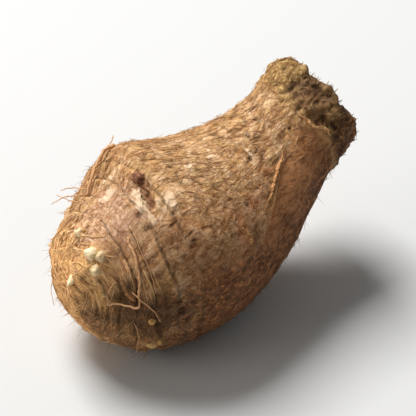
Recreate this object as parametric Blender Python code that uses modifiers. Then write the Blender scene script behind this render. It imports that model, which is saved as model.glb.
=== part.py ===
"""Taro root: one small drumstick-shaped corm, as picked.

The corm is a single solid. It lies on a small flat under its belly, with its
blunt growing end towards -X and its neck, which ends in the shallow scar where
it broke from the mother corm, rising towards +X. Metres, +Z up, origin on the
resting flat at the middle of the bounding box.
"""
import math
from collections import namedtuple

import bmesh
import bpy
from mathutils import Vector

MM = 0.001

# ---- driving dimensions -------------------------------------------------------
CORM_LENGTH = 82.0 * MM       # along X, tip to neck scar
BELLY_WIDTH = 50.0 * MM       # across Y at the shoulder, the widest section
NECK_WIDTH = 27.0 * MM        # across the neck just before the scar
REST_DEPTH = 0.9 * MM         # depth of belly taken off where the corm rests
SCAR_DEPTH = 2.0 * MM         # hollow of the scar below its rim
SIDES = 12                    # corners of each section of the cage
SMOOTH_LEVELS = 2             # subdivision levels of the cage

# Sections of the corm from the growing tip to the rim of the scar. Along is a
# share of the corm's length. Side and height place the centre, in shares of the
# belly's half width. Half width, above and below are how far the section
# reaches from its centre, in shares of the belly's half width on the body and
# of the neck's on the neck. Lean is the section's tilt back, in degrees, so
# that it stays square to the rising axis.
Section = namedtuple("Section", "along side height half_width above below lean")
BODY = [
    Section(0.00, -0.10, 0.74, 0.08, 0.08, 0.08, 8),
    Section(0.02, -0.10, 0.77, 0.36, 0.33, 0.38, 8),
    Section(0.06, -0.13, 0.80, 0.57, 0.50, 0.60, 8),
    Section(0.13, -0.16, 0.86, 0.75, 0.65, 0.80, 8),
    Section(0.22, -0.17, 0.94, 0.90, 0.77, 0.95, 8),
    Section(0.33, -0.10, 1.00, 1.04, 0.97, 1.02, 9),
    Section(0.41, -0.10, 1.02, 0.97, 0.85, 1.03, 10),
    Section(0.51, -0.13, 1.08, 0.83, 0.74, 1.06, 12),
    Section(0.61, -0.14, 1.17, 0.74, 0.62, 0.92, 15),
    Section(0.71, -0.11, 1.29, 0.63, 0.54, 0.74, 18),
]
NECK = [
    Section(0.81, -0.05, 1.42, 0.99, 0.93, 1.05, 21),
    Section(0.90, 0.00, 1.58, 1.00, 1.00, 1.02, 22),
    Section(0.95, 0.00, 1.66, 0.90, 0.90, 0.90, 22),
]
SCAR_STEPS = [(0.70, 0.3), (0.35, 1.0)]   # (share of the rim's radius, share of the depth)

SKIN_COLOUR = (0.27, 0.17, 0.09, 1.0)
SKIN_ROUGHNESS = 0.85

NODE = "corm"


def clear_scene():
    for obj in list(bpy.data.objects):
        bpy.data.objects.remove(obj, do_unlink=True)


def new_collection(name):
    collection = bpy.data.collections.new(name)
    bpy.context.scene.collection.children.link(collection)
    return collection


def skin_material():
    material = bpy.data.materials.new("taro_skin")
    material.use_nodes = True
    shader = material.node_tree.nodes["Principled BSDF"]
    shader.inputs["Base Color"].default_value = SKIN_COLOUR
    shader.inputs["Roughness"].default_value = SKIN_ROUGHNESS
    shader.inputs["Metallic"].default_value = 0.0
    return material


def section_centre(section):
    half = BELLY_WIDTH / 2
    return Vector((section.along * CORM_LENGTH, section.side * half, section.height * half))


def section_points(section, half_girth):
    """Corners of one section, made wide enough that the smoothed surface,
    which lies inside its cage, keeps the section's own radii."""
    radius = half_girth * 3.0 / (2.0 + math.cos(2.0 * math.pi / SIDES))
    lean = math.radians(section.lean)
    points = []
    for corner in range(SIDES):
        angle = 2.0 * math.pi * corner / SIDES
        reach = section.above if math.sin(angle) > 0 else section.below
        across = section.half_width * radius * math.cos(angle)
        rise = reach * radius * math.sin(angle)
        offset = Vector((-rise * math.sin(lean), across, rise * math.cos(lean)))
        points.append(section_centre(section) + offset)
    return points


def scar_rings(rim_points):
    """Rings that step from the scar's rim down into its hollow."""
    rim = NECK[-1]
    lean = math.radians(rim.lean)
    outward = Vector((math.cos(lean), 0.0, math.sin(lean)))
    centre = section_centre(rim)
    rings = []
    for radius_share, depth_share in SCAR_STEPS:
        sink = outward * (SCAR_DEPTH * depth_share)
        rings.append([centre + (point - centre) * radius_share - sink for point in rim_points])
    return rings


def corm_rings():
    """All the rings of the cage, from the growing tip to the scar's floor."""
    rings = [section_points(section, BELLY_WIDTH / 2) for section in BODY]
    rings += [section_points(section, NECK_WIDTH / 2) for section in NECK]
    return rings + scar_rings(rings[-1])


def extrude_to(bm, cap, ring):
    """Extrude the end face and bring its corners to the next ring."""
    result = bmesh.ops.extrude_discrete_faces(bm, faces=[cap])
    cap = result["faces"][0]
    for vert, point in zip([loop.vert for loop in cap.loops], ring):
        vert.co = point
    return cap


def build_cage():
    """Closed cage of the corm, extruded section by section from the tip."""
    rings = corm_rings()
    bm = bmesh.new()
    bmesh.ops.create_circle(bm, cap_ends=True, segments=SIDES, radius=BELLY_WIDTH / 2)
    bm.faces.ensure_lookup_table()
    cap = bm.faces[0]
    for loop, point in zip(cap.loops, rings[0]):
        loop.vert.co = point
    tip_edges = list(cap.edges)
    for ring in rings[1:]:
        cap = extrude_to(bm, cap, ring)
    bmesh.ops.contextual_create(bm, geom=[edge for edge in tip_edges if edge.is_boundary])
    bmesh.ops.recalc_face_normals(bm, faces=bm.faces[:])
    mesh = bpy.data.meshes.new(NODE)
    bm.to_mesh(mesh)
    bm.free()
    return mesh


def add_smoothing(obj):
    modifier = obj.modifiers.new("smooth", "SUBSURF")
    modifier.levels = SMOOTH_LEVELS
    modifier.render_levels = SMOOTH_LEVELS


def surface_bounds(obj):
    """Lowest and highest corners of the object's smoothed surface."""
    bpy.context.view_layer.update()
    evaluated = obj.evaluated_get(bpy.context.evaluated_depsgraph_get())
    mesh = evaluated.to_mesh()
    low = Vector(min(vert.co[axis] for vert in mesh.vertices) for axis in range(3))
    high = Vector(max(vert.co[axis] for vert in mesh.vertices) for axis in range(3))
    evaluated.to_mesh_clear()
    return low, high


def settle(obj):
    """Move the cage so that the box is centred over the origin and the plane
    of the resting flat is at z = 0."""
    low, high = surface_bounds(obj)
    middle = (low + high) / 2
    shift = Vector((-middle.x, -middle.y, -low.z - REST_DEPTH))
    for vert in obj.data.vertices:
        vert.co += shift


def flat_cutter(collection):
    """Block whose top face is the plane that the corm rests on."""
    thickness = 10.0 * MM
    bpy.ops.mesh.primitive_cube_add(size=1.0, location=(0.0, 0.0, -thickness / 2))
    cutter = bpy.context.active_object
    cutter.name = "rest_cutter"
    cutter.scale = (1.5 * CORM_LENGTH, 1.5 * BELLY_WIDTH, thickness)
    cutter.hide_render = True
    cutter.display_type = "WIRE"
    for owner in list(cutter.users_collection):
        owner.objects.unlink(cutter)
    collection.objects.link(cutter)
    return cutter


def cut_resting_flat(obj, cutter):
    modifier = obj.modifiers.new("resting_flat", "BOOLEAN")
    modifier.operation = "DIFFERENCE"
    modifier.solver = "EXACT"
    modifier.object = cutter


def main():
    clear_scene()
    parts = new_collection("taro_root")
    cutters = new_collection("cutters")
    corm = bpy.data.objects.new(NODE, build_cage())
    parts.objects.link(corm)
    corm.data.materials.append(skin_material())
    corm.data.shade_smooth()
    add_smoothing(corm)
    settle(corm)
    cut_resting_flat(corm, flat_cutter(cutters))


main()
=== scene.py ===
"""Looks of the taro corm: skin with its leaf-scar rings, matted fibres, roots, buds and scar."""
import math
from collections import namedtuple

import bpy
import numpy as np
from mathutils import Matrix, Vector, noise
from mathutils.bvhtree import BVHTree
from mathutils.kdtree import KDTree


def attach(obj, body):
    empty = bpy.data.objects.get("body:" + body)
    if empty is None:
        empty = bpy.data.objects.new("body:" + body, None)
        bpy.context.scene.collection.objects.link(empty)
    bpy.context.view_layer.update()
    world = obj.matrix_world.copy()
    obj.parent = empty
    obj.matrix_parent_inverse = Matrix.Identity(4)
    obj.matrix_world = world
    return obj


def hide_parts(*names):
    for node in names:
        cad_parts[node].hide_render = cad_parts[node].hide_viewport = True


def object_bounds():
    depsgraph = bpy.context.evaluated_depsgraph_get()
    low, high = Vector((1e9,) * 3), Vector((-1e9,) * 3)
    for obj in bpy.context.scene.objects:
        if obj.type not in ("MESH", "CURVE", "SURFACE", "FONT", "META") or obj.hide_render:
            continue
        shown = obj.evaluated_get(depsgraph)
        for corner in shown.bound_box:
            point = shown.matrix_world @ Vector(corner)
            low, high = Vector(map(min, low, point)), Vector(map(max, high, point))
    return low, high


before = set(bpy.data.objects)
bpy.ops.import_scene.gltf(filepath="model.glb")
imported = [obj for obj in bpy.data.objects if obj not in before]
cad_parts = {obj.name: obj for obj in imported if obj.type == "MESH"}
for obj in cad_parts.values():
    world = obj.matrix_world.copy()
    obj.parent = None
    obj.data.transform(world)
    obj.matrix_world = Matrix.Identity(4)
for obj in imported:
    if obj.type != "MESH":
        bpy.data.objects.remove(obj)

CAD_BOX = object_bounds()
MM = 0.001


# ---- small tools ----

def select_only(piece):
    bpy.ops.object.select_all(action="DESELECT")
    piece.select_set(True)
    bpy.context.view_layer.objects.active = piece


def link_piece(name, data):
    piece = bpy.data.objects.new(name, data)
    bpy.context.scene.collection.objects.link(piece)
    select_only(piece)
    return piece


def apply_modifier(piece, kind, **settings):
    modifier = piece.modifiers.new(kind.lower(), kind)
    for name, value in settings.items():
        setattr(modifier, name, value)
    select_only(piece)
    bpy.ops.object.modifier_apply(modifier=modifier.name)


def edit_all(piece, operator, **settings):
    """Run one edit-mode operator on the whole of a piece."""
    select_only(piece)
    bpy.ops.object.mode_set(mode="EDIT")
    bpy.ops.mesh.select_all(action="SELECT")
    operator(**settings)
    bpy.ops.object.mode_set(mode="OBJECT")


def face_outwards(piece):
    edit_all(piece, bpy.ops.mesh.normals_make_consistent, inside=False)


def join_pieces(pieces, name):
    select_only(pieces[0])
    if len(pieces) > 1:
        for piece in pieces:
            piece.select_set(True)
        bpy.ops.object.join()
    joined = bpy.context.view_layer.objects.active
    joined.name = name
    joined.data.name = name
    return joined


def new_ball(segments, rings, radius):
    bpy.ops.object.select_all(action="DESELECT")
    bpy.ops.mesh.primitive_uv_sphere_add(segments=segments, ring_count=rings, radius=radius)
    return bpy.context.active_object


def stand_piece(piece, foot, direction):
    """Put a piece at a foot point, with its Z axis along a direction, and smooth it."""
    turn = direction.to_track_quat("Z", "Y").to_matrix().to_4x4()
    piece.matrix_world = Matrix.Translation(foot) @ turn
    select_only(piece)
    bpy.ops.object.transform_apply(location=True, rotation=True, scale=True)
    piece.data.shade_smooth()


def ramp_up(value, low, high):
    """0 below low, 1 above high, and smooth between."""
    share = np.clip((value - low) / (high - low), 0.0, 1.0)
    return share * share * (3.0 - 2.0 * share)


def between(value, start, full, fading, gone):
    """0 below start, 1 from full to fading, and 0 again above gone."""
    return ramp_up(value, start, full) * (1.0 - ramp_up(value, fading, gone))


def hill(offset, reach):
    """1 where the offset is 0, falling softly away on both sides of it."""
    return np.exp(-(offset / reach) ** 2)


def grain(points, size, shift=0.0):
    """Smooth noise at each point, about -1 to 1. Each shift gives other lumps of that size."""
    return np.array([noise.noise(place) for place in (points / size + shift).tolist()])


def cells(points, size, shift=0.0):
    """How far each point is from the middle of its own cell, in cell sizes."""
    return np.array([noise.voronoi(place)[0][0] for place in (points / size + shift).tolist()])


def vertex_arrays(piece):
    mesh = piece.data
    places = np.zeros(len(mesh.vertices) * 3)
    mesh.vertices.foreach_get("co", places)
    normals = np.zeros(len(mesh.vertices) * 3)
    mesh.vertex_normals.foreach_get("vector", normals)
    return places.reshape(-1, 3), normals.reshape(-1, 3)


def move_vertices(piece, places):
    piece.data.vertices.foreach_set("co", places.astype(np.float32).ravel())
    piece.data.update()


# ---- places on the corm ----

class CormMap:
    """Places on the corm as a share of the way from tip to scar and a turn about the
    middle line, in degrees from the top, positive towards -Y."""

    SAMPLES = 160        # points of the middle line
    SLICES = 30          # sections that the line is fitted through
    BLOCK = 8000         # points compared with the line at one time

    def __init__(self, points):
        low, high = points.min(0), points.max(0)
        cuts = np.linspace(low[0] + 4 * MM, high[0] - 10 * MM, self.SLICES)
        slices = [points[abs(points[:, 0] - x) < 2.5 * MM] for x in cuts]
        middles = np.array([(band.min(0) + band.max(0)) / 2 for band in slices])
        x = np.linspace(low[0], high[0], self.SAMPLES)
        y, z = [np.polyval(np.polyfit(cuts, middles[:, axis], 3), x) for axis in (1, 2)]
        self.line = np.stack([x, y, z], -1)
        steps = np.linalg.norm(np.diff(self.line, axis=0), axis=1)
        self.run = np.concatenate([[0.0], np.cumsum(steps)])
        self.length = self.run[-1]
        self.along = np.gradient(self.line, axis=0)
        self.along /= np.linalg.norm(self.along, axis=1)[:, None]
        self.side = np.array([0.0, -1.0, 0.0]) + self.along * self.along[:, 1:2]
        self.side /= np.linalg.norm(self.side, axis=1)[:, None]
        self.top = np.cross(self.side, self.along)

    def nearest(self, points):
        """Number of the middle line's nearest sample to each point."""
        blocks = np.array_split(points, len(points) // self.BLOCK + 1)
        return np.concatenate([np.linalg.norm(block[:, None] - self.line, axis=2).argmin(1)
                               for block in blocks])

    def locate(self, points):
        """Share and turn of each point."""
        index = self.nearest(points)
        offset = points - self.line[index]
        turn = np.degrees(np.arctan2((offset * self.side[index]).sum(1),
                                     (offset * self.top[index]).sum(1)))
        return self.run[index] / self.length, turn

    def ray(self, share, turn):
        """Start on the middle line and outward direction towards a share and turn."""
        index = int(round(np.interp(share * self.length, self.run, np.arange(self.SAMPLES))))
        angle = math.radians(turn)
        outward = self.top[index] * math.cos(angle) + self.side[index] * math.sin(angle)
        return Vector(self.line[index]), Vector(outward)


class Ground:
    """The finished skin as something to lay other pieces on."""

    def __init__(self, skin, corm_map, zones, end):
        self.tree = BVHTree.FromObject(skin, bpy.context.evaluated_depsgraph_get())
        self.map, self.zones, self.end = corm_map, zones, end
        self.points, _ = vertex_arrays(skin)
        self.tip = Vector(self.points[self.points[:, 0].argmin()])
        self.numbers = KDTree(len(self.points))
        for number, point in enumerate(self.points.tolist()):
            self.numbers.insert(point, number)
        self.numbers.balance()

    def spot(self, share, turn):
        """Point and outward direction of the skin at a place on the corm."""
        start, outward = self.map.ray(share, turn)
        point, normal, _, _ = self.tree.ray_cast(start, outward)
        return point, normal

    def drop(self, point):
        """Nearest point of the skin and its outward direction."""
        place, normal, _, _ = self.tree.find_nearest(point)
        return place, normal

    def scatter(self, chance, count, weights):
        """Numbers of skin points picked by chance, most often where the weights are high."""
        return chance.choice(len(self.points), count, p=weights / weights.sum())

    def lend_marks(self, piece):
        """Store on a piece the marks of the skin under it."""
        points, _ = vertex_arrays(piece)
        found = [self.numbers.find(point)[1] for point in points.tolist()]
        store_skin_marks(piece, {name: mark[found] for name, mark in self.zones.items()})


# ---- marks on the skin ----

TIP_RING_GAP = 1.8 * MM      # gap between leaf-scar rings at the tip
RING_GAP_GROWTH = 0.11       # how much wider each gap is for each step from the tip
BLUSH_CENTRE = (0.150, -2)   # share and turn of the young, bald patch of skin
BLUSH_REACH = (0.070, 33)
CALM_TURN = -22              # middle of the smoother skin on the far upper side
SHADE_SIDE_TURN = 118             # middle of the low near side, painted darker than the rest as shade

# Edge of the worn outer skin: below it (greater turn) the smooth under-skin is bare.
TEAR_SHARES = (0.17, 0.21, 0.25, 0.30, 0.39, 0.44, 0.48, 0.52, 0.57, 0.63, 0.68, 0.80)
TEAR_TURNS = (70, 62, 62, 66, 69.5, 68, 64, 56, 47, 40.5, 37.5, 37)
BARE_LAST_TURN = 150
# Shares between which a mark starts, is full, fades and has gone.
BARE_SHARES = (0.17, 0.26, 0.80, 0.84)
FLAP_SHARES = (0.42, 0.48, 0.66, 0.72)     # where the torn edge stands up as a flap
FLUSH_SHARES = (0.17, 0.25, 0.50, 0.60)    # reddish skin along the worn edge of the belly
FLUSH_TURN = 50

END_LEAN = math.radians(22.0)  # tilt of the broken end's face
# How far in mm the torn surface of the scar runs down from the end, at each turn.
SCAR_TURNS = (-180, -90, -60, -20, 5, 36, 46, 57, 72, 90, 105, 120, 150, 180)
SCAR_REACHES = (8.3, 8.3, 8.6, 10.4, 11.3, 10.9, 10.5, 9.2, 7.8, 9.3, 9.9, 9.3, 8.4, 8.3)

# Marks along a path: how far it fades to each side, and its (share, turn) places.
CRACK = (0.72 * MM, [(0.232, 2), (0.226, 6), (0.219, 14), (0.212, 21)])
# The line beside the thick root on the far upper side is sunk and painted dark as the root's shadow.
ROOT_SHADOW_LINE = (0.55 * MM, [(0.278, -33), (0.247, -32), (0.223, -31), (0.198, -31)])
HOLLOW = (2.6 * MM, [(0.088, 60), (0.078, 64), (0.066, 66)])
RUST = (2.4 * MM, [(0.605, 35), (0.570, 38), (0.530, 42), (0.490, 46),
                   (0.450, 50), (0.410, 54), (0.378, 59), (0.386, 66)])
PALE_TEAR = (1.0 * MM, [(0.214, 5), (0.204, 12), (0.198, 22), (0.201, 31)])

# Patches: share, turn, reach and how ragged the edge is.
SHADE_PATCH = (0.084, 90, 8.0 * MM, 0.20)     # painted shade, dark and low on the near side
DUSKY_PATCH = (0.154, 39, 9.0 * MM, 0.25)    # mauve-brown, by the looped root

PIN_HOLE_REACH = 0.7 * MM
PIN_HOLES = [
    (0.189, 20), (0.184, 31), (0.560, 22), (0.655, 8), (0.711, -4.2),
    (0.744, 0.2), (0.777, 29.5), (0.610, -20), (0.436, 46), (0.243, 51.5),
]
# Pale flecks of scaling skin: share, turn and width.
LIGHT_FLECKS = [
    (0.241, 25, 4.6 * MM),
    (0.185, -14, 3.0 * MM),
    (0.205, -22, 2.6 * MM),
    (0.578, 17.7, 1.9 * MM),
    (0.430, 4, 2.4 * MM),
    (0.341, 10.5, 2.2 * MM),
]


def end_depth(points, top):
    """How far points are from the broken end, measured square to its face."""
    return top - points @ np.array([math.cos(END_LEAN), 0.0, math.sin(END_LEAN)])


def scar_reach(turn):
    """How far the torn surface runs down from the end at a turn."""
    return np.interp(turn, SCAR_TURNS, SCAR_REACHES) * MM


class SkinPlaces:
    """Every point of the skin with its share, turn and distance from the middle line."""

    def __init__(self, points, corm_map):
        self.points = points
        self.map = corm_map
        self.share, self.turn = corm_map.locate(points)
        self.radius = np.linalg.norm(points - corm_map.line[corm_map.nearest(points)], axis=1)
        self.end = -end_depth(points, 0.0).min()
        self.wander = grain(points, 4.0 * MM, 3.0) + 0.6 * grain(points, 1.6 * MM, 7.0)

    def gap(self, share, turn):
        """Distance over the skin from every point to one place."""
        along = (self.share - share) * self.map.length
        around = np.radians((self.turn - turn + 180.0) % 360.0 - 180.0) * self.radius
        return np.hypot(along, around)

    def trail(self, reach, path):
        """1 along a path, fading to 0 on both sides of it."""
        knots = np.array(path)
        gap = np.full(len(self.share), 1.0)
        for step in np.linspace(0, len(knots) - 1, 6 * len(knots)):
            share = np.interp(step, np.arange(len(knots)), knots[:, 0])
            turn = np.interp(step, np.arange(len(knots)), knots[:, 1])
            gap = np.minimum(gap, self.gap(share, turn))
        return hill(gap, reach)

    def patch(self, share, turn, reach, ragged):
        """1 in the middle of a patch, fading to 0 at its ragged edge."""
        return 1.0 - ramp_up(self.gap(share, turn) / reach + ragged * self.wander, 0.45, 1.15)

    def dots(self, spots):
        """The highest at each point of soft dots: share, turn, reach and height."""
        return np.max([height * hill(self.gap(share, turn), reach)
                       for share, turn, reach, height in spots], axis=0)


def worn_zones(places):
    """Where the outer skin is torn off, its standing edge and the young bald skin."""
    share, turn, wander = places.share, places.turn, places.wander
    near_side = turn > 0
    reach = np.hypot((share - BLUSH_CENTRE[0]) / BLUSH_REACH[0], (turn - BLUSH_CENTRE[1]) / BLUSH_REACH[1])
    past_tear = turn - np.interp(share, TEAR_SHARES, TEAR_TURNS) + 3.0 * wander
    flap = between(share, *FLAP_SHARES)
    not_under = 1.0 - ramp_up(turn + 14.0 * wander, BARE_LAST_TURN - 25.0, BARE_LAST_TURN)
    softness = 9.0 - 7.5 * flap
    bare = ramp_up(past_tear / softness, -0.8, 1.2) * between(share, *BARE_SHARES)
    return {
        "blush": 1.0 - ramp_up(reach + 0.35 * wander, 0.45, 1.25),
        "bare": bare * not_under * near_side,
        "tear": hill(past_tear, 2.0) * flap * near_side,
    }


def scar_zones(places):
    """The torn surface of the broken end, the rim round it and its core, darker partly in its own colour and
    partly as painted shade of its near wall.
    """
    turn, wander = places.turn, places.wander
    past_scar = (scar_reach(turn) - end_depth(places.points, places.end)) / MM + 1.1 * wander
    scar = ramp_up(past_scar, -1.0, 1.6)
    near_wall = ramp_up(turn + 9.0 * wander, 3.0, 24.0) * (1.0 - ramp_up(turn, 110.0, 150.0))
    near_wall = near_wall * (1.0 - 0.50 * ramp_up(turn + 6.0 * wander, 48.0, 72.0))
    end_face = 1.0 - ramp_up(places.radius + MM * wander, 5.0 * MM, 9.0 * MM)
    return {
        "scar": scar,
        "scar_rim": hill(past_scar + 0.4, 0.8),
        # the core is painted darker, partly as shade of the near wall
        "core": scar * np.maximum(near_wall * ramp_up(past_scar, 0.5, 2.5), end_face),
    }


def tint_zones(places):
    """Patches that differ in colour, and the painted shade of the low near side."""
    share, turn, wander = places.share, places.turn, places.wander
    painted_shade_patch = places.patch(*SHADE_PATCH)
    from_shade_side = abs((turn - SHADE_SIDE_TURN + 180.0) % 360.0 - 180.0) + 9.0 * wander
    return {
        "painted_shade_patch": painted_shade_patch,
        # painted shade over the low near side and over the dark patch there
        "painted_shade_side": np.maximum(1.0 - ramp_up(from_shade_side, 30.0, 70.0), painted_shade_patch),
        "dusky": places.patch(*DUSKY_PATCH),
        # pale skin round the buds, fainter round the buds painted in shade
        "halo": places.dots([(bud.share, bud.turn, 0.75 * bud.width, bud.paleness) for bud in BUDS]),
        "gold": 1.0 - ramp_up(share + 0.02 * wander, 0.06, 0.16),
        "flush": hill(turn - FLUSH_TURN, 20.0) * between(share, *FLUSH_SHARES),
    }


def small_zones(places):
    """Cracks, hollows, pin holes and pale flecks, and the calm skin with few of them."""
    points, share, turn = places.points, places.share, places.turn
    torn = places.trail(*PALE_TEAR) + 0.50 * grain(points, 1.2 * MM, 40.0)
    torn = ramp_up(torn, 0.55, 0.85) * (1.0 - 0.4 * ramp_up(turn, 13.0, 24.0))
    flecks = places.dots([(share, turn, 0.8 * width, 1.0) for share, turn, width in LIGHT_FLECKS])
    flecks = flecks + 0.8 * grain(points, 1.3 * MM, 44.0)
    from_calm = hill(turn - CALM_TURN, 38.0)
    return {
        # the crack and the line beside the thick root, both painted dark as shade
        "crack": places.trail(*CRACK) + 0.7 * places.trail(*ROOT_SHADOW_LINE),
        "hollow": places.trail(*HOLLOW),
        "hole": places.dots([(share, turn, PIN_HOLE_REACH, 1.0) for share, turn in PIN_HOLES]),
        "pale": np.maximum(torn, 0.78 * ramp_up(flecks, 0.65, 1.05)),
        "calm": from_calm * ramp_up(share, 0.19, 0.27) * (1.0 - 0.8 * ramp_up(share, 0.42, 0.60)),
    }


def skin_zones(places):
    """How much of each kind of skin there is at every point, from 0 to 1."""
    zones = {**worn_zones(places), **scar_zones(places), **tint_zones(places), **small_zones(places)}
    rust = places.trail(*RUST) * ramp_up(places.wander, -0.6, 0.4)
    zones["rust"] = np.max([rust, 0.9 * zones["crack"], 0.36 * zones["flush"]], axis=0)
    return zones


def ring_marks(places, tip):
    """Overlapping ledges of the old leaf bases, their pale crests and their grooves."""
    points = places.points
    reach = np.linalg.norm(points - tip, axis=1)
    reach = reach + 1.7 * MM * grain(points, 14.0 * MM, 1.0) + 0.45 * MM * grain(points, 5.0 * MM, 2.0)
    reach = reach + 0.18 * MM * grain(points, 2.0 * MM, 3.0)
    rings = np.log1p(RING_GAP_GROWTH * np.maximum(reach, 0.0) / TIP_RING_GAP) / RING_GAP_GROWTH
    number = np.floor(rings)
    phase = rings - number
    angle = np.radians(places.turn)
    break_up = np.stack([number * 3.7, 2.4 * np.cos(angle), 2.4 * np.sin(angle)], -1)
    broken = ramp_up(grain(break_up, 1.0) + 0.30 * grain(points, 2.6 * MM, 14.0), -0.40, 0.25)
    fade = 0.14 + 0.86 * (1.0 - ramp_up(places.share, 0.15, 0.34))
    strength = (0.25 + 0.75 * broken) * fade
    ledge = np.where(phase < 0.80, phase / 0.80, (1.0 - phase) / 0.20) ** 1.6
    ragged = 0.80 + 0.5 * grain(points, 1.2 * MM, 15.0)
    return (ledge * strength * (0.8 + 0.2 * ragged),
            hill(phase - 0.78, 0.09) * strength * ragged,
            hill(phase - 0.93, 0.06) * strength)


# ---- skin ----

SKIN_VOXEL = 0.81 * MM
# How far each zone lifts the skin, in mm, and how much painted shade it gets: the sunk crack, hollow and pin
# holes are painted dark as shade, and so is the dark patch low on the near side.
ZONE_RISES = {"bare": -0.30, "tear": 0.30, "crack": -0.90, "hollow": -0.90, "hole": -0.60, "pale": 0.20,
              "core": -0.15, "scar_rim": 0.25}
ZONE_SHADES = {"crack": 0.76, "hollow": 1.0, "hole": 0.85, "painted_shade_patch": 0.78}
# Colours stored on the skin's vertices, each with three marks that its materials read.
SKIN_MARKS = {
    "relief": ("raised", "crest", "dark"),
    "zones": ("blush", "bare", "scar"),
    "edges": ("tear", "scar_rim", "pale"),
    "ground": ("painted_shade_side", "core", "halo"),
    "tints": ("rust", "gold", "dusky"),
}


def skin_texture(places, lie):
    """Streaks, clumps, mottling, pits and broad lumps of the skin, drawn out along its lie."""
    points = places.points
    stretched = points - np.outer(points @ lie, lie) * 0.74
    curl = 1.5 * MM * np.stack([grain(points, 7.0 * MM, 11.0 + axis) for axis in range(3)], -1)
    streak = 1.0 - 2.0 * abs(grain(stretched + curl, 0.85 * MM, 4.0))
    clumps = grain(stretched + 1.6 * curl, 1.25 * MM, 9.0) + 0.5 * grain(points + curl, 1.0 * MM, 5.0)
    mottle = grain(points + 2.0 * curl, 2.9 * MM, 12.0)
    pits = 1.0 - ramp_up(cells(stretched + 0.5 * curl, 2.0 * MM, 6.0), 0.12, 0.36)
    pits = pits * ramp_up(grain(points, 6.0 * MM, 8.0) + 0.3 * ramp_up(places.share, 0.5, 0.65), -0.15, 0.45)
    lumps = 0.45 * grain(points, 15.0 * MM, 20.0) + 0.22 * grain(points, 5.5 * MM, 21.0)
    return streak, clumps, mottle, pits, lumps


def skin_relief(places, lie, zones, tip):
    """Height of the skin above its smooth form, in metres, and its colour marks."""
    points, share = places.points, places.share
    streak, clumps, mottle, pits, lumps = skin_texture(places, lie)
    # the rings, their pale crests and dark grooves fade on the side painted in shade
    worn = 1.0 - 0.65 * zones["painted_shade_side"] * ramp_up(share, 0.06, 0.16)
    ledge, crest, groove = [mark * worn for mark in ring_marks(places, tip)]
    calm = 1.0 - 0.72 * zones["bare"] - 0.45 * zones["blush"] - 0.45 * zones["calm"]
    neck = ramp_up(share, 0.50, 0.65)
    lively = 1.0 - 0.45 * zones["calm"] + 0.35 * (1.0 - ramp_up(share, 0.10, 0.25)) + 0.35 * neck
    height = lumps + 0.75 * ledge - 0.22 * groove
    height += calm * (0.06 * streak + 0.13 * clumps + 0.12 * mottle - 0.22 * pits)
    height += sum(rise * zones[name] for name, rise in ZONE_RISES.items())
    height += -0.50 * zones["bare"] * zones["tear"]

    rough = 0.75 * grain(points, 2.4 * MM, 30.0) + 0.45 * grain(points, 1.1 * MM, 31.0)
    broad = 0.6 * grain(points, 4.0 * MM, 33.0)
    lip = zones["scar"] * (1.0 - zones["core"])
    # recess: hollows in the core, sunk and painted darker as shade
    recess = zones["core"] * ramp_up(-broad, -0.05, 0.25)
    height += zones["scar"] * (rough + broad) + 0.55 * lip - 0.70 * recess

    # The colour mark follows the relief: raised skin lighter and low skin and pits darker, partly the skin's
    # own mottle and partly painted light and shade.
    colour_mark = lively * (0.10 * streak + 0.55 * clumps + 0.42 * mottle) - 0.50 * pits - 0.12 * neck
    colour_mark += 0.12 * zones["flush"]
    # dark is painted shade: in pits, ring grooves, the crack, the hollow, the pin holes, the recesses and low
    # parts of the torn surface, and on the dark patch low on the near side
    shades = [shade * zones[name] for name, shade in ZONE_SHADES.items()]
    dark = np.max(shades + [0.60 * recess], axis=0)
    dark = 0.55 * pits + 0.90 * groove + zones["scar"] * ramp_up(-rough, 0.1, 0.6) + dark
    marks = {
        "raised": np.clip(0.5 + colour_mark, 0.0, 1.0),
        "crest": np.clip(crest * 1.2, 0.0, 1.0),
        "dark": np.clip(dark, 0.0, 1.0),
    }
    return height * MM, marks


def store_marks(piece, name, marks):
    """Keep up to three marks, from 0 to 1 at each vertex, as a colour that materials can read."""
    colours = np.zeros((len(piece.data.vertices), 4), np.float32)
    colours[:, 3] = 1.0
    for channel, mark in enumerate(marks):
        colours[:, channel] = mark
    layer = piece.data.attributes.new(name, "FLOAT_COLOR", "POINT")
    layer.data.foreach_set("color", colours.ravel())


def store_skin_marks(piece, zones):
    for name, channels in SKIN_MARKS.items():
        store_marks(piece, name, [zones[channel] for channel in channels])


def bud_swelling(places):
    """Rise of the skin towards each bud, and the collar round its foot, in metres."""
    rise = 0.0
    for bud in BUDS:
        gap = places.gap(bud.share, bud.turn)
        collar = hill(gap - 0.52 * bud.width, 0.16 * bud.width)
        rise = rise + bud.width * (0.30 * hill(gap, 1.1 * bud.width) + 0.10 * collar)
    return rise + 0.7 * MM * hill(places.gap(*SIDE_SHOOT), 1.8 * MM)


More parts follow.
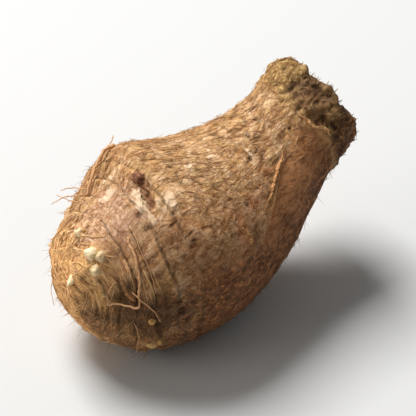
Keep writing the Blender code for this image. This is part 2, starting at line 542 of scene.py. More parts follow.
def make_skin():
    """The skin, and the same skin as ground for the other pieces."""
    skin = link_piece("skin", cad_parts["corm"].data.copy())
    skin.data.materials.clear()
    edit_all(skin, bpy.ops.mesh.remove_doubles, threshold=0.01 * MM)
    apply_modifier(skin, "REMESH", mode="VOXEL", voxel_size=SKIN_VOXEL, use_smooth_shade=True)
    apply_modifier(skin, "SMOOTH", factor=0.5, iterations=8)
    apply_modifier(skin, "SUBSURF", levels=1, render_levels=1)
    points, normals = vertex_arrays(skin)
    corm_map = CormMap(points)
    places = SkinPlaces(points, corm_map)
    lie = corm_map.line[-1] - corm_map.line[0]
    lie = lie / np.linalg.norm(lie)
    zones = skin_zones(places)
    height, marks = skin_relief(places, lie, zones, points[points[:, 0].argmin()])
    height += bud_swelling(places)
    off_floor = ramp_up(points[:, 2], 0.3 * MM, 2.5 * MM)
    moved = points + normals * (height * off_floor)[:, None]
    moved[:, 2] = np.maximum(moved[:, 2], 0.0)
    move_vertices(skin, moved)
    zones.update(marks)
    store_skin_marks(skin, zones)
    skin.data.shade_smooth()
    return skin, Ground(skin, corm_map, zones, places.end)


# ---- buds ----

# The last number says how far the bud goes from tan to cream, from 0 to 1; its low values on the buds low on
# the near side are painted shade.
Bud = namedtuple("Bud", "share turn width length paleness")
BUDS = [
    Bud(0.107, -15, 2.5 * MM, 1.6 * MM, 1.0),
    Bud(0.084, 13, 3.6 * MM, 2.3 * MM, 1.0),
    Bud(0.091, 22, 3.2 * MM, 1.5 * MM, 0.50),
    Bud(0.066, 27, 3.2 * MM, 1.7 * MM, 0.55),
    Bud(0.036, 0, 2.4 * MM, 2.8 * MM, 1.0),
    Bud(0.052, 53, 2.0 * MM, 1.0 * MM, 0.15),
    Bud(0.078, 93.5, 2.1 * MM, 1.3 * MM, 0.05),
    Bud(0.050, 119.5, 2.5 * MM, 1.5 * MM, 0.12),
    Bud(0.073, 118.5, 2.0 * MM, 1.2 * MM, 0.05),
    Bud(0.100, -88, 2.2 * MM, 1.6 * MM, 0.60),
    Bud(0.070, -150, 2.0 * MM, 1.5 * MM, 0.40),
]


def make_bud(ground, bud):
    """Pointed bud: a ball drawn out to a soft tip and sunk in the skin."""
    point, normal = ground.spot(bud.share, bud.turn)
    ball = new_ball(24, 16, bud.width / 2)
    cream_and_light = []
    for vert in ball.data.vertices:
        lift = max(vert.co.z / (bud.width / 2), 0.0)
        cream_and_light.append(lift + 0.35 * noise.noise(vert.co / (0.6 * MM) + point / MM))
        narrow = 1.0 - 0.45 * lift ** 1.5
        vert.co.x *= narrow * (1.0 + 0.15 * math.sin(3.0 * bud.turn))
        vert.co.y *= narrow
        fold = 0.06 * bud.width * math.sin(11.0 * lift + 2.0 * math.atan2(vert.co.y, vert.co.x))
        vert.co.z *= 2.0 * bud.length / bud.width * (1.0 + 0.10 * lift)
        dimple = noise.noise(vert.co / (0.9 * MM) + point / MM) * 0.10 * bud.width
        vert.co += vert.co.normalized() * (dimple + fold * min(lift * 3.0, 1.0) * (1.0 - lift))
    # how cream each point is, lowered on the buds painted in shade
    store_marks(ball, "cream_and_light", [bud.paleness * ramp_up(np.array(cream_and_light), 0.0, 0.6)])
    stand_piece(ball, point - normal * 0.35 * bud.length, normal)
    return ball


def make_buds(ground):
    return join_pieces([make_bud(ground, bud) for bud in BUDS], "buds")


# ---- side shoot ----

SIDE_SHOOT = (0.229, 0.5)     # share and turn of the dry brown side shoot
SHOOT_RADIUS = 1.4 * MM


def make_side_shoot(ground):
    """Dry brown nub of a side shoot, wrinkled round its foot."""
    point, normal = ground.spot(*SIDE_SHOOT)
    shoot = new_ball(28, 18, SHOOT_RADIUS)
    for vert in shoot.data.vertices:
        height = vert.co.z / SHOOT_RADIUS
        pleats = 1.0 + 0.10 * math.sin(7.0 * math.atan2(vert.co.y, vert.co.x)) * (1.0 - abs(height))
        vert.co.x *= pleats * (1.0 - 0.25 * max(height, 0.0))
        vert.co.y *= pleats * (1.15 - 0.25 * max(height, 0.0))
        vert.co.z *= 0.95
        vert.co += vert.co.normalized() * noise.noise(vert.co / (0.7 * MM)) * 0.14 * MM
    stand_piece(shoot, point - normal * 0.25 * MM, normal)
    shoot.name = "side_shoot"
    return shoot


# ---- fibres ----

# One sort of fibre in the mat over the skin. Its lie is along the corm or round its tip,
# spread and wander are in radians, own_share is how far its own colour covers the skin's,
# and liking is how strongly it keeps to raised skin, or with a minus to low skin.
Mat = namedtuple("Mat", "name count length thickness spread wander stand colour own_share lie liking")
MATS = [
    Mat("fibres_brown", 3400, 5.0 * MM, 0.13 * MM, 0.42, 0.16, 0.9 * MM, (114, 72, 41), 0.35, "along", -1),
    Mat("fibres_straw", 4400, 4.0 * MM, 0.14 * MM, 0.45, 0.18, 1.1 * MM, (206, 165, 114), 0.35, "along", 1),
    Mat("fibres_pale", 3600, 2.2 * MM, 0.17 * MM, 0.60, 0.25, 0.0, (234, 198, 150), 0.36, "along", 2),
    Mat("ring_fibres_pale", 430, 9.0 * MM, 0.28 * MM, 0.1, 0.05, 0.2 * MM, (240, 196, 142), 0.58, "round", 1),
    Mat("ring_fibres_dark", 260, 7.5 * MM, 0.22 * MM, 0.1, 0.05, 0.2 * MM, (130, 82, 46), 0.55, "round", -1),
]
FIBRE_STEPS = 5
# How thick a fibre is at each of its points, as a share of its radius: thin at both ends.
FIBRE_SHARES = [0.35 + 0.65 * math.sin(math.pi * (k + 0.5) / 6) for k in range(FIBRE_STEPS + 1)]
FIRST_MAT_SEED = 11
ROOT_SEED = 41
HAIR_SEED = 42
STUB_SEED = 43


def new_strands(name, roundness=0):
    curve = bpy.data.curves.new(name, "CURVE")
    curve.dimensions = "3D"
    curve.bevel_depth = MM
    curve.bevel_resolution = roundness
    curve.use_fill_caps = True
    return curve


def add_strand(curve, points, radius, shares):
    """One strand through the points, above the floor, with a share of its radius at each."""
    spline = curve.splines.new("POLY")
    spline.points.add(len(points) - 1)
    for knot, point, share in zip(spline.points, points, shares):
        knot.co = (point.x, point.y, max(point.z, radius), 1.0)
        knot.radius = radius * share / curve.bevel_depth


def finish_strands(curve):
    link_piece(curve.name, curve)
    bpy.ops.object.convert(target="MESH")
    piece = bpy.context.active_object
    apply_modifier(piece, "WELD", merge_threshold=0.001 * MM)
    face_outwards(piece)
    piece.data.shade_smooth()
    return piece


def crawl(ground, start, heading, stride, wander, chance, lift, stand):
    """Points of a fibre that lies along the skin, wanders, and may stand up at its end."""
    point, normal = ground.drop(start)
    points = [point + normal * lift]
    bend = chance.normal(0.0, wander)
    for step in range(FIBRE_STEPS):
        heading = heading - normal * heading.dot(normal)
        if heading.length < 1e-6:
            break
        heading.normalize()
        heading.rotate(Matrix.Rotation(bend + chance.normal(0.0, wander * 0.5), 3, normal))
        point, normal = ground.drop(point + heading * stride)
        points.append(point + normal * (lift + stand * ((step + 1) / FIBRE_STEPS) ** 2))
    return points


def make_mat(ground, weights, mat, seed):
    """Short fibres all over the skin, starting most often where the weights are high."""
    chance = np.random.default_rng(seed)
    picks = ground.scatter(chance, mat.count, weights)
    curve = new_strands(mat.name)
    for pick, index in zip(picks, ground.map.nearest(ground.points[picks])):
        start = Vector(ground.points[pick])
        heading = Vector(ground.map.along[index])
        if chance.random() < 0.5:
            heading.negate()
        _, normal = ground.drop(start)
        if mat.lie == "round":
            heading = (start - ground.tip).cross(normal).normalized()
        heading.rotate(Matrix.Rotation(chance.normal(0.0, mat.spread), 3, normal))
        radius = mat.thickness * chance.uniform(0.6, 1.3) / 2
        stride = mat.length * chance.uniform(0.5, 1.5) / FIBRE_STEPS
        lift = radius * chance.uniform(-0.5, 0.7)
        stand = mat.stand * chance.random() ** 6
        points = crawl(ground, start, heading, stride, mat.wander, chance, lift, stand)
        if len(points) > FIBRE_STEPS:
            add_strand(curve, points, radius, FIBRE_SHARES)
    return finish_strands(curve)


# ---- loose roots and hairs ----

# Each root: radius, then its places as share, turn and height in mm above the skin.
ROOTS = [
    (0.36 * MM, [
        (0.150, 27, -0.2), (0.143, 32, 0.3), (0.134, 42, 0.5), (0.123, 52, 0.6), (0.113, 61, 0.9),
        (0.101, 69, 1.0), (0.088, 75, 1.0), (0.076, 77, 1.2), (0.062, 73, 1.4), (0.050, 67, 1.3),
        (0.048, 59, 0.8), (0.058, 52, 0.5), (0.072, 50, 0.3), (0.080, 49, -0.2),
    ]),
    (0.48 * MM, [
        (0.286, -40, -0.2), (0.268, -39.5, 0.9), (0.247, -39, 1.3), (0.223, -38, 1.3),
        (0.200, -37, 1.1), (0.182, -36.5, 0.7), (0.163, -37, -0.2),
    ]),
    (0.16 * MM, [
        (0.165, 20, -0.1), (0.160, 30, 0.2), (0.150, 41, 0.3), (0.141, 53, 0.4), (0.133, 63, 0.6),
        (0.128, 70, 1.2),
    ]),
    (0.18 * MM, [(0.092, 66, 0.2), (0.098, 75, 1.1), (0.103, 84, 1.2), (0.100, 93, 1.6)]),
    (0.20 * MM, [(0.262, -38, -0.1), (0.272, -42, 0.7), (0.284, -45, 1.4), (0.298, -47, 2.4)]),
    (0.20 * MM, [
        (0.240, -38, -0.1), (0.222, -42, 0.9), (0.205, -45, 1.3), (0.188, -47, 1.2), (0.172, -51, 1.9),
    ]),
    (0.18 * MM, [(0.190, -36, 0.0), (0.184, -42, 1.4), (0.176, -47, 3.2), (0.168, -50, 4.8)]),
    (0.16 * MM, [(0.180, -40, 0.0), (0.172, -47, 1.6), (0.162, -53, 3.4), (0.152, -57, 5.0)]),
    (0.14 * MM, [(0.166, -44, 0.0), (0.164, -52, 1.6), (0.166, -60, 3.2), (0.172, -66, 4.4)]),
    (0.12 * MM, [(0.045, -52, 0.0), (0.036, -60, 1.4), (0.024, -75, 2.6), (0.014, -95, 3.4)]),
    (0.14 * MM, [(0.030, -20, 0.0), (0.020, 0, 1.6), (0.012, 30, 3.0), (0.010, 50, 4.6)]),
    (0.11 * MM, [(0.040, 30, 0.0), (0.026, 36, 1.5), (0.014, 40, 3.4), (0.010, 60, 5.2)]),
    (0.13 * MM, [(0.050, 96, 0.0), (0.044, 104, 1.3), (0.036, 112, 2.6), (0.024, 118, 3.4)]),
    (0.15 * MM, [(0.250, -118, 0.0), (0.235, -124, 0.9), (0.215, -128, 1.6), (0.198, -126, 2.4)]),
    (0.14 * MM, [(0.300, 172, 0.0), (0.290, 158, 0.5), (0.285, 146, 0.8), (0.290, 134, 1.4)]),
    (0.13 * MM, [(0.480, -104, 0.0), (0.460, -110, 0.6), (0.440, -114, 1.1), (0.420, -113, 1.9)]),
]


def smooth_route(knots, pieces=5):
    """Points of a soft curve through the knots."""
    knots = [2 * knots[0] - knots[1]] + list(knots) + [2 * knots[-1] - knots[-2]]
    points = []
    for first, start, end, last in zip(knots, knots[1:], knots[2:], knots[3:]):
        for step in range(pieces):
            t = step / pieces
            points.append(0.5 * (2 * start + (end - first) * t
                                 + (2 * first - 5 * start + 4 * end - last) * t ** 2
                                 + (3 * start - first - 3 * end + last) * t ** 3))
    points.append(knots[-2])
    return points


def make_stubs(ground, weights, count=200):
    """Broken ends of the strands that ran through the neck, standing on the scar."""
    curve = new_strands("scar_stubs")
    chance = np.random.default_rng(STUB_SEED)
    outward = Vector((math.cos(END_LEAN), 0.0, math.sin(END_LEAN)))
    for pick in ground.scatter(chance, count, weights):
        point, normal = ground.drop(Vector(ground.points[pick]))
        heading = outward + normal * chance.uniform(0.2, 0.9) + Vector(chance.normal(0.0, 0.35, 3))
        heading = heading.normalized() * chance.uniform(0.4, 1.3) * MM
        bend = Vector(chance.normal(0.0, 0.25 * MM, 3))
        radius = chance.uniform(0.09, 0.20) * MM
        points = [point - normal * 0.2 * MM + heading * t + bend * t ** 2 for t in (0, 0.25, 0.5, 0.75, 1)]
        add_strand(curve, points, radius, np.linspace(1.0, 0.45, 5))
    return finish_strands(curve)


def make_roots(ground):
    """The longer dry roots, each along its own route over and off the skin."""
    curve = new_strands("roots", roundness=1)
    chance = np.random.default_rng(ROOT_SEED)
    for radius, places in ROOTS:
        knots = []
        for share, turn, height in places:
            point, normal = ground.spot(share, turn)
            knots.append(point + normal * height * MM)
        points = smooth_route(knots)
        points = [point + Vector(chance.normal(0.0, 0.35 * radius, 3)) for point in points]
        shares = [(1.0 - 0.5 * k / len(points)) * chance.uniform(0.80, 1.20) for k in range(len(points))]
        add_strand(curve, points, radius, shares)
    return finish_strands(curve)


def add_hair(curve, point, normal, heading, rise, length, radius, chance):
    curl = Vector(chance.normal(0.0, 0.5, 3))
    points = []
    for step in range(6):
        t = step / 5
        direction = heading + normal * rise + curl * t * 0.7
        points.append(point - normal * 0.1 * MM + direction.normalized() * length * t)
    add_strand(curve, points, radius, np.linspace(1.0, 0.3, 6))


def make_hairs(ground, weights, count=480, tuft=14):
    """Stiff hairs that stand off the skin, most of them near the rings and at the tip."""
    curve = new_strands("hairs")
    chance = np.random.default_rng(HAIR_SEED)
    picks = ground.scatter(chance, count, weights)
    for pick, index in zip(picks, ground.map.nearest(ground.points[picks])):
        point, normal = ground.drop(Vector(ground.points[pick]))
        heading = -Vector(ground.map.along[index])
        heading.rotate(Matrix.Rotation(chance.normal(0.0, 0.9), 3, normal))
        rise = 0.1 + 0.8 * chance.random() ** 2
        length = chance.uniform(1.2, 3.4) * MM
        radius = chance.uniform(0.04, 0.08) * MM
        add_hair(curve, point, normal, heading, rise, length, radius, chance)
    for _ in range(tuft):
        point, normal = ground.drop(ground.tip + Vector(chance.normal(0.0, 2.2 * MM, 3)))
        heading = Vector(chance.normal(0.0, 0.6, 3))
        length = chance.uniform(2.4, 5.2) * MM
        radius = chance.uniform(0.06, 0.11) * MM
        add_hair(curve, point, normal, heading, 1.0, length, radius, chance)
    return finish_strands(curve)


# ---- torn scales ----

# A scale leans to the left of its path with 1 and to the right with -1. Its places are
# (share, turn) pairs.
Scale = namedtuple("Scale", "width lift lean places")
SCALES = [
    Scale(1.0 * MM, 0.7 * MM, 1, [
        (0.695, 34), (0.660, 35.5), (0.620, 37.5), (0.576, 41), (0.535, 47), (0.505, 51),
    ]),
    Scale(0.9 * MM, 0.5 * MM, -1, [(0.098, 50), (0.092, 58), (0.087, 66), (0.084, 75)]),
    Scale(1.2 * MM, 0.8 * MM, -1, [(0.650, -150), (0.600, -156), (0.550, -152), (0.500, -158)]),
    Scale(1.1 * MM, 0.7 * MM, 1, [(0.360, -92), (0.352, -104), (0.356, -116), (0.348, -128)]),
    Scale(1.5 * MM, 0.9 * MM, 1, [(0.368, 54), (0.375, 59), (0.384, 64), (0.390, 69)]),
]
PALE_SCALE = Scale(1.1 * MM, 0.6 * MM, 1, [(0.217, 4), (0.211, 7), (0.206, 11), (0.202, 16)])
SCALE_ROWS = 5                # points across a scale

# Papery scales that stand along the scar's edge: width, lift, first and last turn.
NEAR_LIP = (0.9 * MM, 0.8 * MM, 30, 70)
FAR_LIPS = [(0.8 * MM, 0.4 * MM, -30, 6), (1.0 * MM, 0.7 * MM, 120, 165)]


def make_scale(ground, scale, seed, crumple):
    """Thin ragged strip of old skin, held along one edge and curling up at the other."""
    knots = [ground.spot(share, turn)[0] for share, turn in scale.places]
    route = smooth_route(knots, pieces=14)
    bpy.ops.object.select_all(action="DESELECT")
    bpy.ops.mesh.primitive_grid_add(x_subdivisions=len(route) - 1, y_subdivisions=SCALE_ROWS - 1, size=2.0)
    strip = bpy.context.active_object
    vertices = sorted(strip.data.vertices, key=lambda vert: (round(vert.co.x, 5), round(vert.co.y, 5)))
    for k, point in enumerate(route):
        foot, normal = ground.drop(point)
        ahead = (route[min(k + 1, len(route) - 1)] - route[max(k - 1, 0)]).normalized()
        across = normal.cross(ahead).normalized() * scale.lean
        taper = math.sin(math.pi * (k + 0.5) / len(route)) ** 0.5
        rag = 0.45 * noise.noise((k * 0.35, seed * 5.3, 0.0)) + 0.30 * noise.noise((k * 1.3, seed, 2.0))
        reach = scale.width * taper * max(0.75 + crumple * rag, 0.35)
        for row in range(SCALE_ROWS):
            t = row / (SCALE_ROWS - 1)
            wave = 1.0 + 0.35 * crumple * noise.noise((k * 0.5, row * 0.8, seed * 3.1))
            rise = scale.lift * taper * wave * t ** 1.7 - 0.12 * MM * (1.0 - t)
            place = foot + across * reach * t + normal * rise
            vertices[k * SCALE_ROWS + row].co = (place.x, place.y, max(place.z, 0.2 * MM))
    apply_modifier(strip, "SOLIDIFY", thickness=0.14 * MM, offset=0.0)
    apply_modifier(strip, "SUBSURF", levels=1, render_levels=1)
    face_outwards(strip)
    strip.data.shade_smooth()
    return strip


def scar_edge_place(ground, turn):
    """Place on the corm where the scar begins at this turn."""
    for share in np.arange(0.70, 0.99, 0.004):
        point, _ = ground.spot(share, turn)
        if end_depth(np.array(point), ground.end) < scar_reach(turn):
            return share, turn
    return 0.99, turn


def lip_scale(ground, width, lift, first, last):
    """Scale along the scar's edge between two turns."""
    turns = np.linspace(first, last, 5)
    return Scale(width, lift, 1, [scar_edge_place(ground, turn) for turn in turns])


def make_scales(ground, scales, name, crumple=1.0):
    strips = [make_scale(ground, scale, seed, crumple) for seed, scale in enumerate(scales)]
    return join_pieces(strips, name)


# ---- materials ----

def colour(red, green, blue):
    """Linear colour from the 0 to 255 values of a colour chart."""
    values = [channel / 255.0 for channel in (red, green, blue)]
    return tuple(v / 12.92 if v <= 0.04045 else ((v + 0.055) / 1.055) ** 2.4 for v in values) + (1.0,)


def new_finish(name, roughness):
    material = bpy.data.materials.new(name)
    material.use_nodes = True
    tree = material.node_tree
    shader = tree.nodes["Principled BSDF"]
    shader.inputs["Roughness"].default_value = roughness
    shader.inputs["Specular IOR Level"].default_value = 0.2
    return material, tree, shader


def add_node(tree, kind, inputs, **settings):
    """New shader node. Each of its inputs gets a value or the output of another node."""
    node = tree.nodes.new("ShaderNode" + kind)
    for name, value in settings.items():
        setattr(node, name, value)
    for name, value in inputs.items():
        if isinstance(value, bpy.types.NodeSocket):
            tree.links.new(value, node.inputs[name])
        else:
            node.inputs[name].default_value = value
    return node


def speckle(tree, size, detail=4.0, distortion=0.0, stretch=1.0, shift=0.0):
    """Noise whose lumps are about size millimetres, drawn out along the corm by stretch."""
    source = add_node(tree, "TexCoord", {})
    place = add_node(tree, "Mapping", {
        "Vector": source.outputs["Object"],
        "Location": (shift, shift, shift),
        "Rotation": (0.0, math.radians(16.0), 0.0),
        "Scale": (1.0 / (MM * stretch), 1.0 / MM, 1.0 / MM),
    })
    lumps = add_node(tree, "TexNoise", {
        "Vector": place.outputs["Vector"],
        "Scale": 1.0 / size,
        "Detail": detail,
        "Roughness": 0.6,
        "Distortion": distortion,
    })
    return lumps.outputs["Fac"]


def band(tree, value, low, high):
    """Stretch the part of a value between low and high to 0 to 1."""
    inputs = {"Value": value, "From Min": low, "From Max": high}
    return add_node(tree, "MapRange", inputs, interpolation_type="SMOOTHSTEP").outputs["Result"]


def blotches(tree, size, low, high, **settings):
    """Soft-edged patches of about size millimetres."""
    return band(tree, speckle(tree, size, **settings), low, high)


def times(tree, first, second):
    return add_node(tree, "Math", {0: first, 1: second}, operation="MULTIPLY").outputs["Value"]


def blend_colour(tree, share, first, second):
    """Colours by share, from the Mix node's sockets for colours, which go by number."""
    inputs = {0: share, 6: first, 7: second}
    return add_node(tree, "Mix", inputs, data_type="RGBA").outputs[2]


def read_marks(tree, name):
    source = add_node(tree, "Attribute", {}, attribute_name=name)
    split = add_node(tree, "SeparateColor", {"Color": source.outputs["Color"]})
    return split.outputs["Red"], split.outputs["Green"], split.outputs["Blue"]


def add_grain_bump(tree, shader, value, height):
    bump = add_node(tree, "Bump", {"Height": value, "Strength": 1.0, "Distance": height})
    tree.links.new(bump.outputs["Normal"], shader.inputs["Normal"])


# Tones of the skin. Each starts as two colours blended by one mask. Over them go layers, each
# with a mask, its strength, and a colour or another tone.
TONES = {
    "young": ("flecks", (168, 122, 88), (234, 197, 166), [
        ("patches", 0.40, (176, 134, 120)),
        ("spots", 0.50, (148, 104, 76)),
        ("glints", 0.52, (250, 214, 190)),
    ]),
    "under": ("threads", (196, 133, 84), (132, 84, 52), [("flecks", 0.3, (190, 134, 88))]),
    # The core is darker partly in its own colour and partly as painted shade.
    "torn": ("flecks", (140, 106, 60), (212, 176, 116), [("core", 0.7, (96, 63, 40))]),
    # Painted shade: the darker tone of the low near side.
    "shade_side_tone": ("flecks", (56, 29, 17), (162, 102, 59), [
        ("blots", 0.45, (40, 24, 15)),
        ("glints", 0.50, (184, 134, 86)),
    ]),
    "skin": ("patches", (180, 129, 77), (205, 160, 109), [
        # high and low: partly the skin's mottle, partly painted light and shade of its relief
        ("high", 0.75, (238, 202, 158)),
        ("low", 0.80, (108, 66, 30)),
        ("flecks", 0.32, (236, 204, 164)),
        ("spots", 0.40, (118, 74, 41)),
        ("threads", 0.25, (126, 84, 50)),
        ("mauve", 0.26, (166, 122, 104)),
        ("olive", 0.40, (186, 150, 84)),
        ("gold", 0.74, (248, 190, 120)),
        ("crest", 0.40, (226, 174, 106)),
        ("blots", 0.26, (92, 56, 31)),
        ("glints", 0.34, (248, 220, 184)),
        ("crest_flecks", 0.60, (242, 203, 150)),
        ("blush", 0.72, "young"),
        ("dusky", 0.46, (142, 98, 74)),
        ("bare", 0.85, "under"),
        ("rust", 0.62, (182, 100, 60)),
        ("scar", 0.90, "torn"),
        # painted shade of the low near side
        ("painted_shade_side", 0.79, "shade_side_tone"),
        ("halo", 0.60, (216, 172, 114)),
        ("tear", 0.60, (206, 146, 98)),
        ("scar_rim", 0.30, (210, 172, 118)),
        ("pale", 0.84, (252, 224, 190)),
        # painted shade in pits, grooves, cracks, holes and recesses
        ("dark", 0.80, (60, 36, 22)),
    ]),
}


def skin_masks(tree):
    """The marks stored on the skin, and patches and flecks of several sizes, from 0 to 1."""
    masks = {
        "patches": blotches(tree, 8.0, 0.36, 0.64),
        "flecks": blotches(tree, 1.1, 0.47, 0.66, distortion=0.8),
        "spots": blotches(tree, 1.6, 0.52, 0.70, detail=3.0, distortion=1.0),
        "threads": blotches(tree, 0.9, 0.48, 0.66, detail=3.0, distortion=1.2, stretch=4.0),
        "blots": blotches(tree, 2.4, 0.50, 0.62, detail=3.0, distortion=0.6),
        # glints are painted highlights
        "glints": blotches(tree, 1.9, 0.55, 0.68, detail=3.0, distortion=0.8, shift=37.0),
        "mauve": blotches(tree, 3.2, 0.50, 0.66, distortion=0.6, shift=37.0),
        "olive": blotches(tree, 3.8, 0.50, 0.66, distortion=0.6),
    }
    for name, channels in SKIN_MARKS.items():
        masks.update(zip(channels, read_marks(tree, name)))
    masks["high"] = band(tree, masks["raised"], 0.45, 1.0)
    masks["low"] = band(tree, masks["raised"], 0.50, 0.05)
    masks["crest_flecks"] = times(tree, masks["crest"], masks["flecks"])
    return masks


def mix_tone(tree, masks, name):
    """Output that gives the colour of one of the tones."""
    base, first, second, layers = TONES[name]
    tone = blend_colour(tree, masks[base], colour(*first), colour(*second))
    for mask, strength, over in layers:
        over = mix_tone(tree, masks, over) if isinstance(over, str) else colour(*over)
        tone = blend_colour(tree, times(tree, masks[mask], strength), tone, over)
    return tone


def skin_finish():
    material, tree, shader = new_finish("corm_skin", 0.82)
    tree.links.new(mix_tone(tree, skin_masks(tree), "skin"), shader.inputs["Base Color"])
    add_grain_bump(tree, shader, speckle(tree, 0.5, distortion=0.8, stretch=4.0), 0.15 * MM)
    return material


def fibre_finish(name, own_colour, own_share, takes_painted_shade=True):
    """Dry fibre of its own colour, toned by the skin that it lies on and darkened with it where the skin is
    painted in shade.
    """
    material, tree, shader = new_finish(name, 0.78)
    masks = skin_masks(tree)
    # less of the fibre's own colour where the skin under it is painted in shade
    unshaded = times(tree, band(tree, masks["painted_shade_side"], 1.6, 0.0), band(tree, masks["dark"], 1.1, 0.45))
    share = times(tree, unshaded, own_share) if takes_painted_shade else own_share
    tone = blend_colour(tree, share, mix_tone(tree, masks, "skin"), colour(*own_colour))
    tree.links.new(tone, shader.inputs["Base Color"])
    return material


def scale_finish(name, dark, pale):
    """Papery old skin with fine veins."""
    material, tree, shader = new_finish(name, 0.70)
    veins = blotches(tree, 0.6, 0.40, 0.65, distortion=1.0, stretch=5.0)
    tone = blend_colour(tree, veins, colour(*dark), colour(*pale))
    tree.links.new(tone, shader.inputs["Base Color"])
    add_grain_bump(tree, shader, veins, 0.12 * MM)
    return material


def shoot_finish():
    """Dry brown, wrinkled skin of the side shoot."""
    material, tree, shader = new_finish("dry_shoot", 0.80)
    tone = blend_colour(tree, blotches(tree, 0.7, 0.38, 0.66), colour(112, 70, 48), colour(170, 118, 88))
    tree.links.new(tone, shader.inputs["Base Color"])
    add_grain_bump(tree, shader, speckle(tree, 0.35, detail=3.0), 0.2 * MM)
    return material


def bud_finish():
    """Waxy cream at the tip, tan where the bud leaves the skin."""
    material, tree, shader = new_finish("bud_wax", 0.50)
    # the cream share is lower on the buds painted in shade
    cream_and_light, _, _ = read_marks(tree, "cream_and_light")
    grainy = blotches(tree, 0.6, 0.40, 0.70, detail=3.0)
    base = blend_colour(tree, grainy, colour(168, 124, 66), colour(208, 164, 96))
    tip = blend_colour(tree, grainy, colour(254, 235, 196), colour(240, 206, 150))
    tree.links.new(blend_colour(tree, cream_and_light, base, tip), shader.inputs["Base Color"])
    shader.inputs["Subsurface Weight"].default_value = 0.25
    shader.inputs["Subsurface Scale"].default_value = 0.8 * MM
    return material


def set_finish(piece, material):
    piece.data.materials.clear()
    piece.data.materials.append(material)
    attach(piece, "root")


# ---- floor, light and camera ----

VIEW_HEADING = -38.0
VIEW_HEIGHT = 39.0        # degrees above level
VIEW_DISTANCE = 1.0
VIEW_LENS = 365.0         # millimetres, on a 36 mm wide sensor
FLOOR_WIDTH = 6.0
FLOOR_TONE = (0.605, 0.605, 0.597, 1.0)
SKY_STRENGTH = 0.22

# Square studio lights that shine on the corm: heading and height in degrees, then
# distance and size in metres, power in watts and tint.
Light = namedtuple("Light", "name heading height distance size power tint")
LIGHTS = [
    Light("key", VIEW_HEADING - 140.0, 58.0, 1.2, 0.6, 22.0, (1.0, 1.0, 1.0)),
    Light("fill", VIEW_HEADING - 70.0, 26.0, 1.5, 0.9, 4.7, (1.0, 0.93, 0.84)),
]


def aim_at_corm(name, data, heading, height, distance):
    """Light or camera that looks at the corm's middle from a heading and height."""
    across, up = math.radians(heading), math.radians(height)
    look = Vector((-math.sin(across) * math.cos(up), math.cos(across) * math.cos(up), -math.sin(up)))
    middle = (Vector(CAD_BOX[0]) + Vector(CAD_BOX[1])) / 2
    thing = bpy.data.objects.new(name, data)
    thing.location = middle - look * distance
    thing.rotation_euler = look.to_track_quat("-Z", "Y").to_euler()
    bpy.context.scene.collection.objects.link(thing)
    return thing


def add_camera():
    data = bpy.data.cameras.new("camera")
    data.lens = VIEW_LENS
    data.clip_start = 0.01
    bpy.context.scene.camera = aim_at_corm("camera", data, VIEW_HEADING, VIEW_HEIGHT, VIEW_DISTANCE)


def light_scene():
    world = bpy.data.worlds.new("studio")
    world.use_nodes = True
    sky = world.node_tree.nodes["Background"]
    sky.inputs["Color"].default_value = (1.0, 1.0, 1.0, 1.0)
    sky.inputs["Strength"].default_value = SKY_STRENGTH
    bpy.context.scene.world = world
    for light in LIGHTS:
        data = bpy.data.lights.new(light.name, "AREA")
        data.size = light.size
        data.energy = light.power
        data.color = light.tint
        aim_at_corm(light.name, data, light.heading, light.height, light.distance)
    bpy.context.scene.view_settings.view_transform = "Standard"


def make_floor():
    bpy.ops.object.select_all(action="DESELECT")
    bpy.ops.mesh.primitive_plane_add(size=FLOOR_WIDTH, location=(0.0, 0.0, 0.0))
    floor = bpy.context.active_object
    floor.name = "floor"
    material, _, shader = new_finish("floor_white", 0.9)
    shader.inputs["Base Color"].default_value = FLOOR_TONE
    floor.data.materials.append(material)


# ---- the corm ----

def dress_strands(strands, ground, finish):
    """Give a piece of fibre the skin's marks and its own finish."""
    ground.lend_marks(strands)
    set_finish(strands, finish)


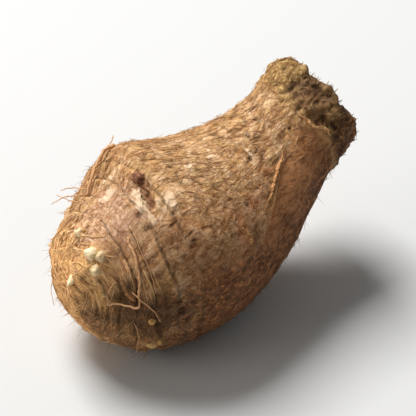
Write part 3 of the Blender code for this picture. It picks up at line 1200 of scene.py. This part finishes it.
def make_fibres(ground):
    """The mats of fibre, the stiff hairs and the strand ends on the scar."""
    zones = ground.zones
    bald = 0.75 * zones["blush"] + 0.80 * zones["bare"] + 0.6 * zones["pale"] + 0.6 * zones["scar"]
    share, _ = ground.map.locate(ground.points)
    body = np.clip((1.0 - bald) * (0.15 + 0.85 * ramp_up(share, 0.10, 0.27)), 0.01, 1.0)
    ringed = (1.0 - 0.9 * zones["blush"]) * (1.0 - 0.9 * zones["hollow"])
    tip_end = ringed * (1.0 - ramp_up(share, 0.07, 0.17))
    high = zones["raised"]
    for seed, mat in enumerate(MATS, start=FIRST_MAT_SEED):
        cover = tip_end if mat.lie == "round" else body
        weights = cover * (0.25 + (high ** mat.liking if mat.liking > 0 else 1.0 - high))
        strands = make_mat(ground, weights, mat, seed)
        dress_strands(strands, ground, fibre_finish(mat.name, mat.colour, mat.own_share))
    hairs = make_hairs(ground, 0.05 + zones["crest"])
    dress_strands(hairs, ground, fibre_finish("hair_fibre", (170, 126, 86), 0.60))
    stubs = make_stubs(ground, zones["scar"] ** 2)
    dress_strands(stubs, ground, fibre_finish("stub_fibre", (196, 156, 106), 0.45))


def build():
    skin, ground = make_skin()
    set_finish(skin, skin_finish())
    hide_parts("corm")
    make_fibres(ground)
    root_finish = fibre_finish("root_fibre", (206, 158, 112), 0.88, takes_painted_shade=False)
    dress_strands(make_roots(ground), ground, root_finish)
    torn = make_scales(ground, SCALES + [lip_scale(ground, *lip) for lip in FAR_LIPS], "torn_scales")
    set_finish(torn, scale_finish("torn_scale", (168, 112, 66), (224, 170, 116)))
    lip = make_scales(ground, [lip_scale(ground, *NEAR_LIP)], "scar_lip")
    set_finish(lip, scale_finish("lip_scale", (208, 150, 96), (246, 202, 142)))
    pale = make_scales(ground, [PALE_SCALE], "pale_scale", crumple=0.6)
    set_finish(pale, scale_finish("pale_scale", (236, 196, 156), (255, 236, 206)))
    set_finish(make_side_shoot(ground), shoot_finish())
    set_finish(make_buds(ground), bud_finish())


add_camera()
light_scene()
make_floor()
build()
